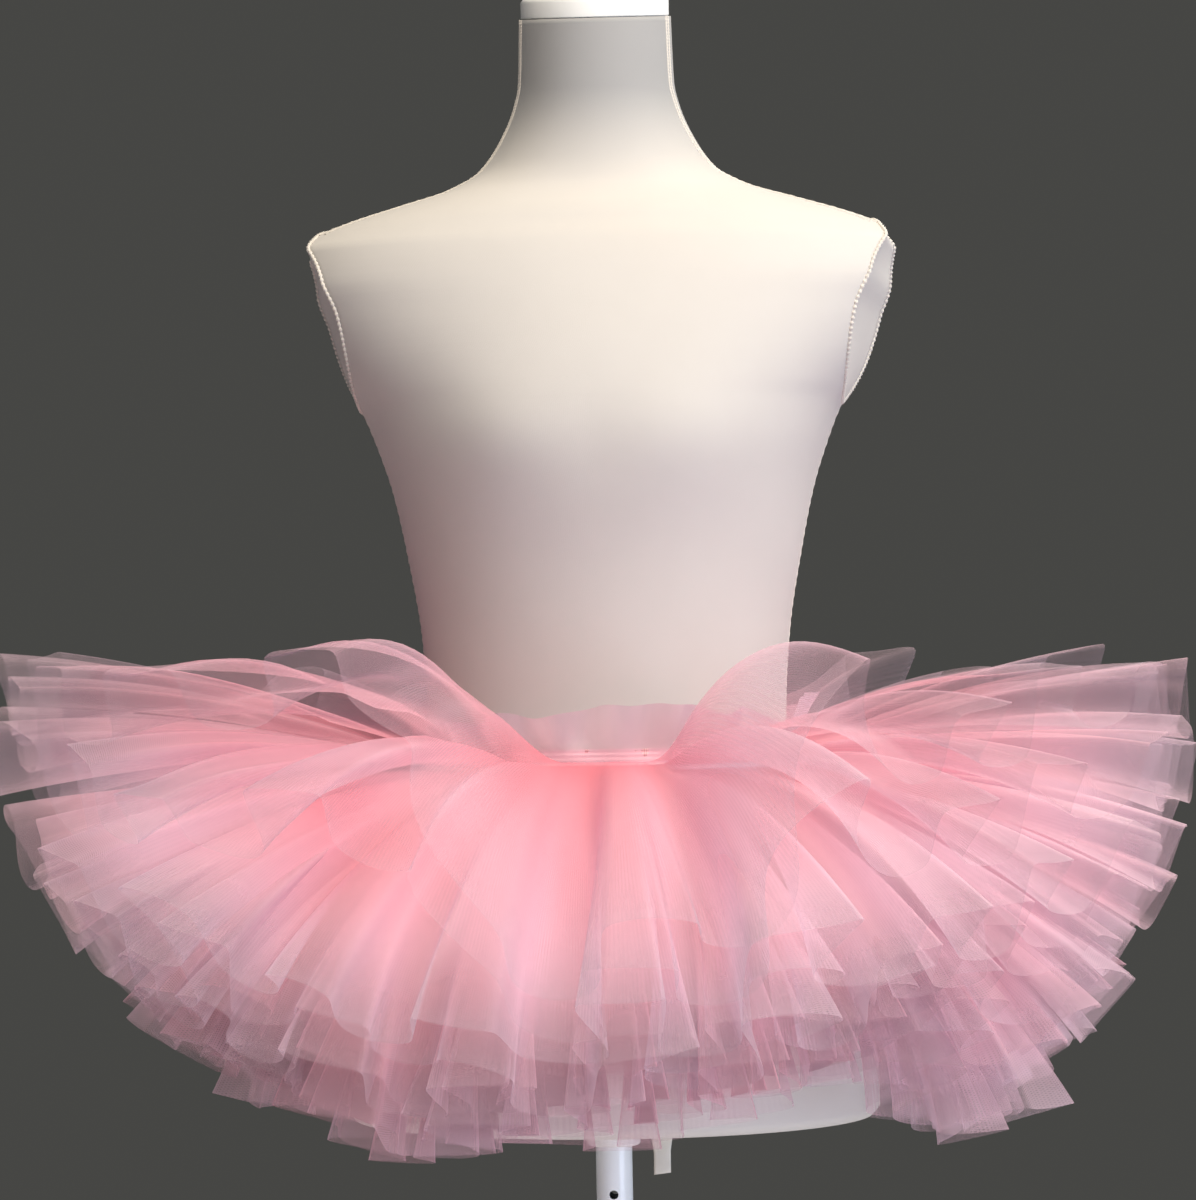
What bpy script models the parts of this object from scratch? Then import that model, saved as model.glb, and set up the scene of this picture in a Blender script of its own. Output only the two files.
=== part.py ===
"""Ballet tutu on a limbless dress form with a height-adjustable pole stand.

Metres, +Z up. The form faces -Y, and the origin is the centre of the base plate's underside.
Every tier of the tutu is one closed wall of cloth, gathered at the waistband and fanned out to a
waved hem. Heights marked "above the form" are measured from the form's bottom face.
"""
import math

import bmesh
import bpy
import numpy as np
from mathutils import Matrix

# ---------------------------------------------------------------- driving dimensions
FORM_BOTTOM = 0.800          # height of the form's bottom face above the floor
SEAM_GAP = 0.0003            # between pieces that touch

# Dress form
RING_POINTS_ARC = 7          # points on a quarter of a section, from the centre line to the side
RING_POINTS_PLATE = 3        # points along an arm plate
PLATE_CENTRE = 0.495         # height of the arm plate's centre above the form
PLATE_HALF_HEIGHT = 0.056
PLATE_HALF_DEPTH = 0.049
PLATE_TURN = math.radians(10)  # each arm plate faces a little forward
SIDE_EDGE = 0.002            # half the depth of the side where there is no arm plate
NECK_SLOPE = 0.19            # rise of the neck's top towards the back, per metre
NECK_SLOPE_FROM = 0.595      # height above the form where the neck's sections begin to tilt
NECK_TOP = 0.681
CAP_HEIGHT = 0.014
CAP_INSET = 0.0012

# Sections of the form: height above the form, half width before the arm plate cuts it off, depth
# in front of and behind the side line, and how far that side line lies behind the pole's axis.
FORM_SECTIONS = (
    # height, half_width, front, back, side_line
    (0.0000, 0.1600, 0.1020, 0.1050, 0.004),
    (0.0050, 0.1640, 0.1060, 0.1090, 0.004),
    (0.0500, 0.1620, 0.1040, 0.1100, 0.004),
    (0.1000, 0.1495, 0.0990, 0.1020, 0.004),
    (0.1500, 0.1300, 0.0925, 0.0900, 0.004),
    (0.1860, 0.1175, 0.0885, 0.0810, 0.004),
    (0.2120, 0.1122, 0.0865, 0.0770, 0.004),
    (0.2340, 0.1105, 0.0860, 0.0760, 0.004),
    (0.2620, 0.1112, 0.0870, 0.0770, 0.004),
    (0.3000, 0.1141, 0.0910, 0.0790, 0.005),
    (0.3483, 0.1221, 0.0995, 0.0815, 0.006),
    (0.3873, 0.1304, 0.1095, 0.0840, 0.006),
    (0.4165, 0.1398, 0.1125, 0.0880, 0.004),
    (0.4375, 0.1484, 0.1090, 0.0905, 0.002),
    (0.4500, 0.1567, 0.1060, 0.0920, 0.001),
    (0.4700, 0.1700, 0.1005, 0.0930, 0.000),
    (0.4950, 0.1855, 0.0930, 0.0930, 0.000),
    (0.5170, 0.1967, 0.0855, 0.0930, 0.000),
    (0.5360, 0.1946, 0.0785, 0.0900, 0.001),
    (0.5465, 0.1798, 0.0735, 0.0870, 0.003),
    (0.5553, 0.1577, 0.0700, 0.0820, 0.005),
    (0.5646, 0.1279, 0.0650, 0.0750, 0.008),
    (0.5745, 0.0960, 0.0620, 0.0660, 0.011),
    (0.5860, 0.0752, 0.0570, 0.0600, 0.010),
    (0.6105, 0.0583, 0.0500, 0.0520, 0.008),
    (0.6250, 0.0523, 0.0475, 0.0495, 0.007),
    (0.6400, 0.0488, 0.0460, 0.0480, 0.006),
    (0.6810, 0.0474, 0.0440, 0.0450, 0.005),
)

# Waistband: an elastic band under the tulle, between two heights above the form
BAND_BOTTOM = 0.188
BAND_TOP = 0.229
BAND_WALL = 0.0016
BAND_GAP = 0.0005            # between the band and the form

# Tulle tiers
CLOTH_WALL = 0.0010
WAVES = 24                   # ruffle waves round each tier
POINTS_A_WAVE = 6
TIER_ROWS = (0.0, 0.42, 1.0)  # rows of points, from the gathers to the hem
ROOT_GAP = 0.0011            # between a tier's gathered edge and the band
ROOT_TOP = 0.2145            # height of the top tier's gathered edge above the form
ROOT_STEP = 0.0045           # from one tier's gathered edge down to the next
TIER_LENGTHS = (0.262, 0.252, 0.243, 0.238, 0.232, 0.228)
WAVE_AT_ROOT = 0.00015       # height of a wave at the gathers
WAVE_GROWTH = 1.15           # power by which a wave grows from the gathers to the hem
WAVE_START = -0.68           # puts crests of the top tier at its two highest loops, in radians
LOW_TIERS_FLATTER = 0.40     # how much lower the lowest tier's waves are, as a share
WAVE_STEP = 0.45             # shift of the waves from one tier to the next, in radians
WAVE_LEAN = 0.20             # sideways swing of a wave's crest, as a share of its height

# Fan of the tiers, by direction: degrees round from the front (positive towards +X), mean rise
# of the top, second and lowest tier, the bend of each from gathers to hem in degrees, the height
# of a wave at the hem, and the length there of the upper tiers and of the lowest tier as shares.
FAN = (
    # round, top, second, lowest, bend_top, bend_second, bend_lowest, wave, length, low_length
    (-180, 5, -14, -62, 18, 16, 34, 0.028, 1.00, 0.94),
    (-135, 6, -14, -63, 18, 16, 34, 0.029, 1.00, 0.92),
    (-90, 9.5, -14, -65, 18, 16, 34, 0.030, 1.00, 0.88),
    (-62, 9, -15, -64, 24, 20, 34, 0.028, 1.00, 0.87),
    (-44, 8, -21, -62, 36, 26, 34, 0.025, 1.00, 0.89),
    (-33, 10, -28, -63, 48, 31, 35, 0.022, 1.00, 0.96),
    (-24, 15, -33, -64, 56, 34, 36, 0.020, 0.99, 1.00),
    (-16, 11, -35, -64, 52, 36, 36, 0.019, 0.98, 0.98),
    (-8, -18, -36, -64, 40, 36, 36, 0.019, 0.97, 0.96),
    (4, -20, -36, -63, 36, 36, 36, 0.019, 0.95, 0.92),
    (12, -12, -34, -59, 44, 35, 36, 0.020, 0.93, 0.85),
    (19, 14, -31, -56, 54, 33, 36, 0.021, 0.92, 0.81),
    (28, 2, -27, -55, 40, 30, 35, 0.023, 0.92, 0.81),
    (43, 7, -19, -58, 28, 24, 34, 0.026, 0.94, 0.88),
    (60, 9, -16, -60, 20, 18, 34, 0.028, 0.95, 1.00),
    (90, 8.5, -16, -64.5, 18, 16, 34, 0.0285, 0.95, 1.01),
    (135, 6, -14, -63, 18, 16, 34, 0.029, 0.98, 0.96),
)
# Slow unevenness of the ruffles: cycles round, share, shift in radians
PHASE_WANDER = ((2, 0.35, 0.6), (3, 0.70, -0.2), (5, 0.30, 4.0), (8, 0.20, 1.3))
HEIGHT_WANDER = ((3, 0.13, 1.1), (7, 0.10, 0.4), (10, 0.08, 2.6))
LENGTH_WANDER = ((4, 0.022, 0.3), (9, 0.018, 1.7))

# Header: the small gathered ruffle that stands on the waistband
HEADER_RISE = 0.017
HEADER_LEAN = math.radians(24)
HEADER_WAVE = 0.0032
HEADER_POINTS_A_WAVE = 4

# Stand
BASE_RADIUS = 0.165
BASE_THICK = 0.006
BASE_EDGE = 0.003
BOSS_RADIUS = 0.027
BOSS_TOP = 0.040
ROUND_SIDES = 24
INNER_RADIUS = 0.01125       # inner pole, outside
INNER_BORE = 0.00975
OUTER_BORE = 0.0118          # outer pole, inside: the inner pole slides in it
OUTER_RADIUS = 0.0140
INNER_BOTTOM = 0.300
OUTER_TOP = 0.600
GRIP_RADIUS = 0.0200         # grip collar on the outer pole's top
GRIP_BOTTOM = 0.568
GRIP_LIP = 0.004
HOLE_RADIUS = 0.0028
HOLE_TOP = FORM_BOTTOM - 0.047
HOLE_PITCH = 0.050
HOLE_COUNT = 7
SOCKET_RADIUS = 0.0220       # collar under the form that holds the pole
SOCKET_DROP = 0.012
SOCKET_TIP_RADIUS = 0.0165
TAB_WIDTH = 0.0110
TAB_THICK = 0.0016
TAB_DROP = 0.0260
TAB_PLACE = (0.0320, -0.060)


# ---------------------------------------------------------------- materials and meshes
def material(name, colour, roughness, metallic=0.0, alpha=1.0):
    """Principled material with one colour."""
    made = bpy.data.materials.new(name)
    made.use_nodes = True
    shader = made.node_tree.nodes["Principled BSDF"]
    shader.inputs["Base Color"].default_value = (*colour, 1.0)
    shader.inputs["Roughness"].default_value = roughness
    shader.inputs["Metallic"].default_value = metallic
    shader.inputs["Alpha"].default_value = alpha
    return made


def add_object(name, mesh_builder, finish):
    """Adds one named object from a bmesh, with its faces pointing out."""
    bmesh.ops.recalc_face_normals(mesh_builder, faces=mesh_builder.faces)
    mesh = bpy.data.meshes.new(name)
    mesh_builder.to_mesh(mesh)
    mesh_builder.free()
    mesh.materials.append(finish)
    mesh.shade_smooth()
    mesh.set_sharp_from_angle(angle=math.radians(50))
    made = bpy.data.objects.new(name, mesh)
    bpy.context.scene.collection.objects.link(made)
    return made


def add_grid(builder, grid):
    """Adds a grid of points, rows by columns, closed round its columns, with quads between."""
    rows = [[builder.verts.new(point) for point in row] for row in grid]
    columns = len(rows[0])
    for low, high in zip(rows, rows[1:]):
        for j in range(columns):
            k = (j + 1) % columns
            builder.faces.new((low[j], low[k], high[k], high[j]))
    return rows


def join_rows(builder, first, second):
    """Joins two closed rows of points, point by point."""
    columns = len(first)
    for j in range(columns):
        k = (j + 1) % columns
        builder.faces.new((first[j], first[k], second[k], second[j]))


def ring_wall(name, outside, inside, finish):
    """A closed wall between two grids of points that have the same rows and columns."""
    builder = bmesh.new()
    outer = add_grid(builder, outside)
    inner = add_grid(builder, inside)
    join_rows(builder, outer[0], inner[0])
    join_rows(builder, outer[-1], inner[-1])
    return add_object(name, builder, finish)


def capped_loft(name, grid, finish):
    """A solid through closed rows of points, with a flat face on its first and last row."""
    builder = bmesh.new()
    rows = add_grid(builder, grid)
    builder.faces.new(rows[0])
    builder.faces.new(rows[-1])
    return add_object(name, builder, finish)


def turned_ring(name, profile, finish, sides=ROUND_SIDES):
    """A ring turned about Z from a closed profile of (radius, height) points."""
    turns = np.arange(sides) * 2 * math.pi / sides
    builder = bmesh.new()
    grid = [[(r * math.cos(t), r * math.sin(t), z) for t in turns] for r, z in profile]
    rows = add_grid(builder, grid)
    join_rows(builder, rows[-1], rows[0])
    return add_object(name, builder, finish)


# ---------------------------------------------------------------- dress form
def form_section(height):
    """Half width, front depth, back depth and side line at a height, from the table's rows."""
    table = np.array(FORM_SECTIONS)
    return [float(np.interp(height, table[:, 0], table[:, c])) for c in (1, 2, 3, 4)]


def plate_half_depth(height):
    """Half the depth of the flat side at a height: an oval arm plate, or a narrow side edge."""
    away = (height - PLATE_CENTRE) / PLATE_HALF_HEIGHT
    oval = PLATE_HALF_DEPTH * math.sqrt(max(0.0, 1.0 - away * away))
    return max(SIDE_EDGE, oval)


def half_ring(height):
    """Points of a section on the +X side, from the front centre round to the back centre.

    The front is an arc of an ellipse, cut off where the arm plate begins. The plate slants out
    to its back edge, and the back is the arc of an ellipse that meets it there.
    """
    half_width, front, back, side_line = form_section(height)
    reach = plate_half_depth(height)
    slant = math.tan(PLATE_TURN) * reach / PLATE_HALF_DEPTH
    points = []
    stop = math.acos(reach / front)
    for i in range(RING_POINTS_ARC):
        t = stop * i / RING_POINTS_ARC
        points.append((half_width * math.sin(t), side_line - front * math.cos(t)))
    plate_front = half_width * math.sin(stop)
    for i in range(RING_POINTS_PLATE):
        along = 2 * reach * i / RING_POINTS_PLATE
        points.append((plate_front + along * slant, side_line - reach + along))
    stop = math.acos(reach / back)
    width = (plate_front + 2 * reach * slant) / math.sin(stop)
    for i in range(RING_POINTS_ARC + 1):
        t = stop * (1 - i / RING_POINTS_ARC)
        points.append((width * math.sin(t), side_line + back * math.cos(t)))
    return points


def form_ring(height, grow=0.0):
    """Whole section of the form at a height, moved out by grow, as points in space."""
    right = half_ring(height)
    left = [(-x, y) for x, y in right[-2:0:-1]]
    ring = np.array(right + left)
    ahead = np.roll(ring, -1, axis=0) - np.roll(ring, 1, axis=0)
    normal = np.stack([-ahead[:, 1], ahead[:, 0]], axis=1)
    normal /= np.linalg.norm(normal, axis=1)[:, None]
    ring = ring - grow * normal
    tilt = NECK_SLOPE * np.clip((height - NECK_SLOPE_FROM) / (NECK_TOP - NECK_SLOPE_FROM), 0, 1)
    rise = FORM_BOTTOM + height + tilt * ring[:, 1]
    return np.column_stack([ring, rise])


def build_form(jersey, plastic):
    """Torso with flat arm plates, and the cap on its neck."""
    torso = [form_ring(row[0]) for row in FORM_SECTIONS]
    capped_loft("torso", torso, jersey)
    cap = []
    for rise, inset in ((0.0, 0.0), (0.010, 0.0), (0.0128, 0.002), (CAP_HEIGHT, 0.008)):
        ring = form_ring(NECK_TOP, grow=-(CAP_INSET + inset))
        ring[:, 2] += SEAM_GAP + rise
        cap.append(ring)
    capped_loft("neck_cap", cap, plastic)


# ---------------------------------------------------------------- tutu
def by_direction(turns, column):
    """A column of the FAN table at the given directions, smooth and closed round the waist.

    Cubic Hermite between rows, with each row's slope from its neighbours.
    """
    table = np.array(FAN, dtype=float)
    around = np.radians(table[:, 0])
    value = table[:, column]
    around = np.concatenate([around - 2 * math.pi, around, around + 2 * math.pi])
    value = np.tile(value, 3)
    slope = np.gradient(value, around)
    wrapped = (np.asarray(turns) + math.pi) % (2 * math.pi) - math.pi
    i = np.clip(np.searchsorted(around, wrapped, side="right") - 1, 0, len(around) - 2)
    step = around[i + 1] - around[i]
    t = (wrapped - around[i]) / step
    start = value[i] * (2 * t**3 - 3 * t**2 + 1) + slope[i] * step * (t**3 - 2 * t**2 + t)
    end = value[i + 1] * (3 * t**2 - 2 * t**3) + slope[i + 1] * step * (t**3 - t**2)
    return start + end


def wander(turns, table, tier_shift=0.0):
    """Sum of slow sines round the waist."""
    return sum(share * np.sin(cycles * turns + shift + tier_shift)
               for cycles, share, shift in table)


def waist_point(turns, height, out):
    """Point of the waist's oval whose outward direction is given, moved out along it."""
    half_width, front, back, side_line = form_section(height)
    sine, cosine = np.sin(turns), np.cos(turns)
    depth = np.where(cosine > 0, front, back)
    scale = np.sqrt((half_width * sine) ** 2 + (depth * cosine) ** 2)
    x = half_width**2 * sine / scale + out * sine
    y = side_line - depth**2 * cosine / scale - out * cosine
    return x, y


def tier_sheet(tier, turns, shares):
    """Middle surface of a tier: rows from the gathers (share 0) to the hem (share 1).

    A point runs out from the waist along an arc whose rise falls evenly from gathers to hem,
    then moves across that arc by a wave that grows towards the hem, and a little sideways.
    """
    last = len(TIER_LENGTHS) - 1
    below = max(0.0, (tier - 1) / (last - 1))
    second = by_direction(turns, 2)
    rise = second + (by_direction(turns, 3) - second) * below
    bend = by_direction(turns, 5) * (1 - below) + by_direction(turns, 6) * below
    if tier == 0:
        rise, bend = by_direction(turns, 1), by_direction(turns, 4)
    rise, bend = np.radians(rise), np.radians(bend)
    length = by_direction(turns, 8) * (1 - below) + by_direction(turns, 9) * below
    length = TIER_LENGTHS[tier] * length * (1 + wander(turns, LENGTH_WANDER, 0.9 * tier))
    root = ROOT_TOP - ROOT_STEP * tier
    x0, y0 = waist_point(turns, root, BAND_GAP + BAND_WALL + ROOT_GAP)
    share = np.asarray(shares)[:, None]
    first = rise + bend / 2
    here = first - bend * share
    out = length * (np.sin(first) - np.sin(here)) / bend
    up = length * (np.cos(here) - np.cos(first)) / bend
    phase = WAVES * turns + wander(turns, PHASE_WANDER) + WAVE_START + WAVE_STEP * tier
    size = by_direction(turns, 7) * (1 + wander(turns, HEIGHT_WANDER, 0.3 * tier))
    size = size * (1 - LOW_TIERS_FLATTER * below)
    size = WAVE_AT_ROOT + (size - WAVE_AT_ROOT) * share**WAVE_GROWTH
    wave = size * (np.sin(phase) + 0.15 * np.sin(2 * phase + 0.9))
    swing = -WAVE_LEAN * size * np.sin(2 * phase)
    sine, cosine = np.sin(turns), np.cos(turns)
    radial = out - wave * np.sin(here)
    x = x0 + radial * sine + swing * cosine
    y = y0 - radial * cosine + swing * sine
    z = FORM_BOTTOM + root + up + wave * np.cos(here)
    return np.stack([x, y, z], axis=-1)


def sheet_normals(sheet):
    """Normals of a grid of points that is closed round its columns."""
    along = np.gradient(sheet, axis=0)
    around = np.roll(sheet, -1, axis=1) - np.roll(sheet, 1, axis=1)
    normal = np.cross(around, along)
    return normal / np.linalg.norm(normal, axis=-1, keepdims=True)


def build_tiers(tulle):
    """The tulle tiers, each one wall from its gathers at the band to its hem."""
    turns = np.arange(WAVES * POINTS_A_WAVE) * 2 * math.pi / (WAVES * POINTS_A_WAVE)
    for tier in range(len(TIER_LENGTHS)):
        sheet = tier_sheet(tier, turns, TIER_ROWS)
        half = sheet_normals(sheet) * CLOTH_WALL / 2
        ring_wall(f"tulle_tier_{tier + 1}", sheet + half, sheet - half, tulle)


def build_band(elastic):
    """Elastic waistband, following the form's sections a small gap away."""
    rows = [BAND_BOTTOM, 0.2120, BAND_TOP]
    inside = [form_ring(height, grow=BAND_GAP) for height in rows]
    outside = [form_ring(height, grow=BAND_GAP + BAND_WALL) for height in rows]
    ring_wall("waistband", outside, inside, elastic)


def build_header(tulle):
    """Small gathered ruffle standing on the waistband's top edge, leaning out."""
    count = WAVES * HEADER_POINTS_A_WAVE
    turns = np.arange(count) * 2 * math.pi / count
    rows = []
    for share in (0.0, 1.0):
        rise = HEADER_RISE * share
        phase = WAVES * turns + wander(turns, PHASE_WANDER)
        wave = (WAVE_AT_ROOT + HEADER_WAVE * share) * np.sin(phase)
        out = BAND_GAP + BAND_WALL / 2 + rise * math.tan(HEADER_LEAN) + wave
        x, y = waist_point(turns, BAND_TOP, out)
        z = np.full(count, FORM_BOTTOM + BAND_TOP + SEAM_GAP + rise)
        rows.append(np.stack([x, y, z], axis=-1))
    sheet = np.array(rows)
    half = sheet_normals(sheet) * CLOTH_WALL / 2
    half[..., 2] = 0.0
    ring_wall("header_ruffle", sheet + half, sheet - half, tulle)


# ---------------------------------------------------------------- stand
def build_base(paint):
    """Round base plate and the boss that holds the outer pole."""
    turns = np.arange(48) * 2 * math.pi / 48
    rows = []
    for radius, z in ((BASE_RADIUS, 0.0), (BASE_RADIUS, BASE_THICK - BASE_EDGE),
                      (BASE_RADIUS - BASE_EDGE, BASE_THICK)):
        rows.append([(radius * math.cos(t), radius * math.sin(t), z) for t in turns])
    capped_loft("base_plate", rows, paint)
    bore = OUTER_RADIUS + SEAM_GAP
    low = BASE_THICK + SEAM_GAP
    profile = ((bore, low), (BOSS_RADIUS, low), (BOSS_RADIUS, BOSS_TOP - 0.012),
               (OUTER_RADIUS + 0.006, BOSS_TOP), (bore, BOSS_TOP))
    turned_ring("base_boss", profile, paint)


def drill(target, heights):
    """Cuts round holes through a tube from front to back, one at each height."""
    builder = bmesh.new()
    for z in heights:
        made = bmesh.ops.create_cone(builder, cap_ends=True, segments=8, radius1=HOLE_RADIUS,
                                     radius2=HOLE_RADIUS, depth=4 * INNER_RADIUS)
        bmesh.ops.rotate(builder, verts=made["verts"], matrix=Matrix.Rotation(math.pi / 2, 3, "X"))
        bmesh.ops.translate(builder, verts=made["verts"], vec=(0, 0, z))
    mesh = bpy.data.meshes.new("pole_drill")
    builder.to_mesh(mesh)
    builder.free()
    cutter = bpy.data.objects.new("pole_drill", mesh)
    bpy.context.scene.collection.objects.link(cutter)
    cutter.hide_render = True
    cutter.display_type = "WIRE"
    cut = target.modifiers.new("Holes", "BOOLEAN")
    cut.operation = "DIFFERENCE"
    cut.solver = "EXACT"
    cut.object = cutter


def build_poles(paint, plastic):
    """Outer pole with its grip collar, inner pole with its row of holes, and the form's socket."""
    low = BASE_THICK + SEAM_GAP
    profile = ((OUTER_BORE, low), (OUTER_RADIUS, low), (OUTER_RADIUS, OUTER_TOP),
               (OUTER_BORE, OUTER_TOP))
    turned_ring("outer_pole", profile, paint)
    grip = OUTER_RADIUS + SEAM_GAP
    cover = OUTER_TOP + SEAM_GAP
    profile = ((grip, GRIP_BOTTOM), (GRIP_RADIUS, GRIP_BOTTOM), (GRIP_RADIUS, cover + 0.001),
               (GRIP_RADIUS - 0.003, cover + GRIP_LIP), (OUTER_BORE, cover + GRIP_LIP),
               (OUTER_BORE, cover), (grip, cover))
    turned_ring("grip_collar", profile, plastic)
    top = FORM_BOTTOM - SEAM_GAP
    profile = ((INNER_BORE, INNER_BOTTOM), (INNER_RADIUS, INNER_BOTTOM), (INNER_RADIUS, top),
               (INNER_BORE, top))
    pole = turned_ring("inner_pole", profile, paint)
    drill(pole, [HOLE_TOP - HOLE_PITCH * i for i in range(HOLE_COUNT)])
    bore = INNER_RADIUS + SEAM_GAP
    profile = ((bore, top), (bore, top - SOCKET_DROP - 0.005),
               (SOCKET_TIP_RADIUS, top - SOCKET_DROP - 0.005),
               (SOCKET_TIP_RADIUS, top - SOCKET_DROP), (SOCKET_RADIUS, top - SOCKET_DROP + 0.002),
               (SOCKET_RADIUS, top - 0.004), (SOCKET_RADIUS + 0.010, top - 0.003),
               (SOCKET_RADIUS + 0.010, top))
    turned_ring("form_socket", profile, plastic)


def build_tab(jersey):
    """Short end of the cover's tape, hanging from the form's bottom edge."""
    x, y = TAB_PLACE
    top = FORM_BOTTOM - SEAM_GAP
    rows = []
    for z, widen in ((top, 0.0015), (top - TAB_DROP / 2, 0.0), (top - TAB_DROP, -0.0005)):
        half = TAB_WIDTH / 2 + widen
        rows.append([(x - half, y, z), (x + half, y, z), (x + half, y + TAB_THICK, z),
                     (x - half, y + TAB_THICK, z)])
    capped_loft("cover_tab", rows, jersey)


def main():
    for old in list(bpy.data.objects):
        bpy.data.objects.remove(old, do_unlink=True)
    jersey = material("white_jersey", (0.86, 0.83, 0.78), 0.85)
    plastic = material("white_plastic", (0.82, 0.84, 0.84), 0.35)
    paint = material("white_paint", (0.80, 0.82, 0.84), 0.30)
    elastic = material("pink_elastic", (0.90, 0.56, 0.58), 0.80)
    tulle = material("pink_tulle", (0.94, 0.52, 0.58), 0.75)
    build_form(jersey, plastic)
    build_band(elastic)
    build_header(tulle)
    build_tiers(tulle)
    build_base(paint)
    build_poles(paint, plastic)
    build_tab(jersey)


main()
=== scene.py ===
"""Looks of a ballet tutu on a limbless dress form with a pole stand.

The tulle is made of loose layers: each is one thin sheet that runs out from the waistband along an
arc, thrown into ruffle waves that grow towards its hem. Metres, +Z up, and the form faces -Y.
"""
import math

import bmesh
import bpy
import numpy as np
from mathutils import Matrix, Vector


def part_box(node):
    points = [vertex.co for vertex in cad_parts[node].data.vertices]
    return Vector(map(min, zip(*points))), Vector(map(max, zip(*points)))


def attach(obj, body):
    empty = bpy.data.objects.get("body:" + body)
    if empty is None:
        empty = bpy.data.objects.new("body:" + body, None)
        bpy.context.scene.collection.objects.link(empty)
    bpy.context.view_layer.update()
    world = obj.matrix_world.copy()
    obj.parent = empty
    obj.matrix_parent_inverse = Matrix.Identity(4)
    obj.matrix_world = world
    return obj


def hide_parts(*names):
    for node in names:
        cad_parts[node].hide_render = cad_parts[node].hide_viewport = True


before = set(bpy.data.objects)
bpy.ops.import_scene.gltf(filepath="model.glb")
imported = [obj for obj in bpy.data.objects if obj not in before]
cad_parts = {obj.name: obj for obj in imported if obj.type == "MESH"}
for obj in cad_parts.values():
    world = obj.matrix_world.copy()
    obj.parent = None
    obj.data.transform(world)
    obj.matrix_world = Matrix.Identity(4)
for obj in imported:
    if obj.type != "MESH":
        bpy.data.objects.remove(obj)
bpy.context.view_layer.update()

TURN = 2 * math.pi

# ---------------------------------------------------------------- sizes of the form
FORM_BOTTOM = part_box("torso")[0].z
SEAM_GAP = 0.0003
NECK_SHADE_FROM = FORM_BOTTOM + 0.572   # where painted shade starts to darken the cover up the neck
PLATE_CENTRE = 0.495         # height of the arm plate's centre above the form's bottom
PLATE_HALF_HEIGHT = 0.056
PLATE_HALF_DEPTH = 0.049
PLATE_TURN = math.radians(10)
SIDE_EDGE = 0.002
NECK_SLOPE = 0.19            # rise of the neck's top towards the back, per metre
NECK_SLOPE_FROM = 0.595
NECK_TOP = 0.681
BUST_HEIGHT = 0.414          # the chest's two soft swells, above the form's bottom
BUST_APART = 0.060           # from the centre line to a swell's middle
BUST_WIDE = 0.042
BUST_TALL = 0.036
BUST_RISE = 0.0045
FORM_SECTIONS = np.array((
    # height, half_width, front, back, side_line
    (0.0000, 0.1600, 0.1020, 0.1050, 0.004),
    (0.0050, 0.1640, 0.1060, 0.1090, 0.004),
    (0.0500, 0.1620, 0.1040, 0.1100, 0.004),
    (0.1000, 0.1495, 0.0990, 0.1020, 0.004),
    (0.1500, 0.1300, 0.0925, 0.0900, 0.004),
    (0.1860, 0.1175, 0.0885, 0.0810, 0.004),
    (0.2120, 0.1122, 0.0865, 0.0770, 0.004),
    (0.2340, 0.1105, 0.0860, 0.0760, 0.004),
    (0.2620, 0.1112, 0.0870, 0.0770, 0.004),
    (0.3000, 0.1141, 0.0910, 0.0790, 0.005),
    (0.3483, 0.1221, 0.0995, 0.0815, 0.006),
    (0.3873, 0.1304, 0.1095, 0.0840, 0.006),
    (0.4165, 0.1398, 0.1125, 0.0880, 0.004),
    (0.4375, 0.1484, 0.1090, 0.0905, 0.002),
    (0.4500, 0.1567, 0.1060, 0.0920, 0.001),
    (0.4700, 0.1700, 0.1005, 0.0930, 0.000),
    (0.4950, 0.1855, 0.0930, 0.0930, 0.000),
    (0.5170, 0.1967, 0.0855, 0.0930, 0.000),
    (0.5360, 0.1946, 0.0785, 0.0900, 0.001),
    (0.5465, 0.1798, 0.0735, 0.0870, 0.003),
    (0.5553, 0.1577, 0.0700, 0.0820, 0.005),
    (0.5646, 0.1279, 0.0650, 0.0750, 0.008),
    (0.5745, 0.0960, 0.0620, 0.0660, 0.011),
    (0.5860, 0.0752, 0.0570, 0.0600, 0.010),
    (0.6105, 0.0583, 0.0500, 0.0520, 0.008),
    (0.6250, 0.0523, 0.0475, 0.0495, 0.007),
    (0.6400, 0.0488, 0.0460, 0.0480, 0.006),
    (0.6810, 0.0474, 0.0440, 0.0450, 0.005),
))

# ---------------------------------------------------------------- sizes of the tutu
BAND_BOTTOM = 0.188
BAND_TOP = 0.229
BAND_WALL = 0.0016
BAND_GAP = 0.0005
ROOT_OUT = 0.0032            # a layer's gathered edge, out from the form
ROOT_TOP = 0.2215            # height of the top layer's gathered edge above the form
ROOT_STEP = 0.0060           # from one level's gathered edge down to the next
WAVES = 24
WAVE_START = -0.68
WAVE_STEP = 0.45
WAVE_UNEVEN = 1.35           # how far waves shift round the waist from even ones, in radians
WAVE_BENT = 0.22             # and how far they bend along their length
SIZE_UNEVEN = 0.50
LEAN = 0.40                  # sideways swing of a fold's sides, as a share of its height
LEAN_LOW = 0.35              # and what low layers add
LEAN_UNEVEN = 0.55
BOX_SHARPNESS = 2.0
PEAK_SHARPNESS = 0.93
BOX_SHARE = (0.6, 0.9)       # share of flat-topped folds: the mean, and how far it varies
PLEATS = 62                  # small pleats round a layer
PLEAT_HEIGHT = 0.0003
PLEAT_HEIGHT_LOW = 0.0010    # what the lowest layer's pleats add
RIPPLE_HEIGHT = 0.0024
GATHER_HEIGHT = 0.0003       # fine gathers just outside the waistband
RISE_UNEVEN = 2.6            # degrees
BEND_UNEVEN = 7.0
LENGTH_UNEVEN = (-0.03, 0.07)
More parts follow.
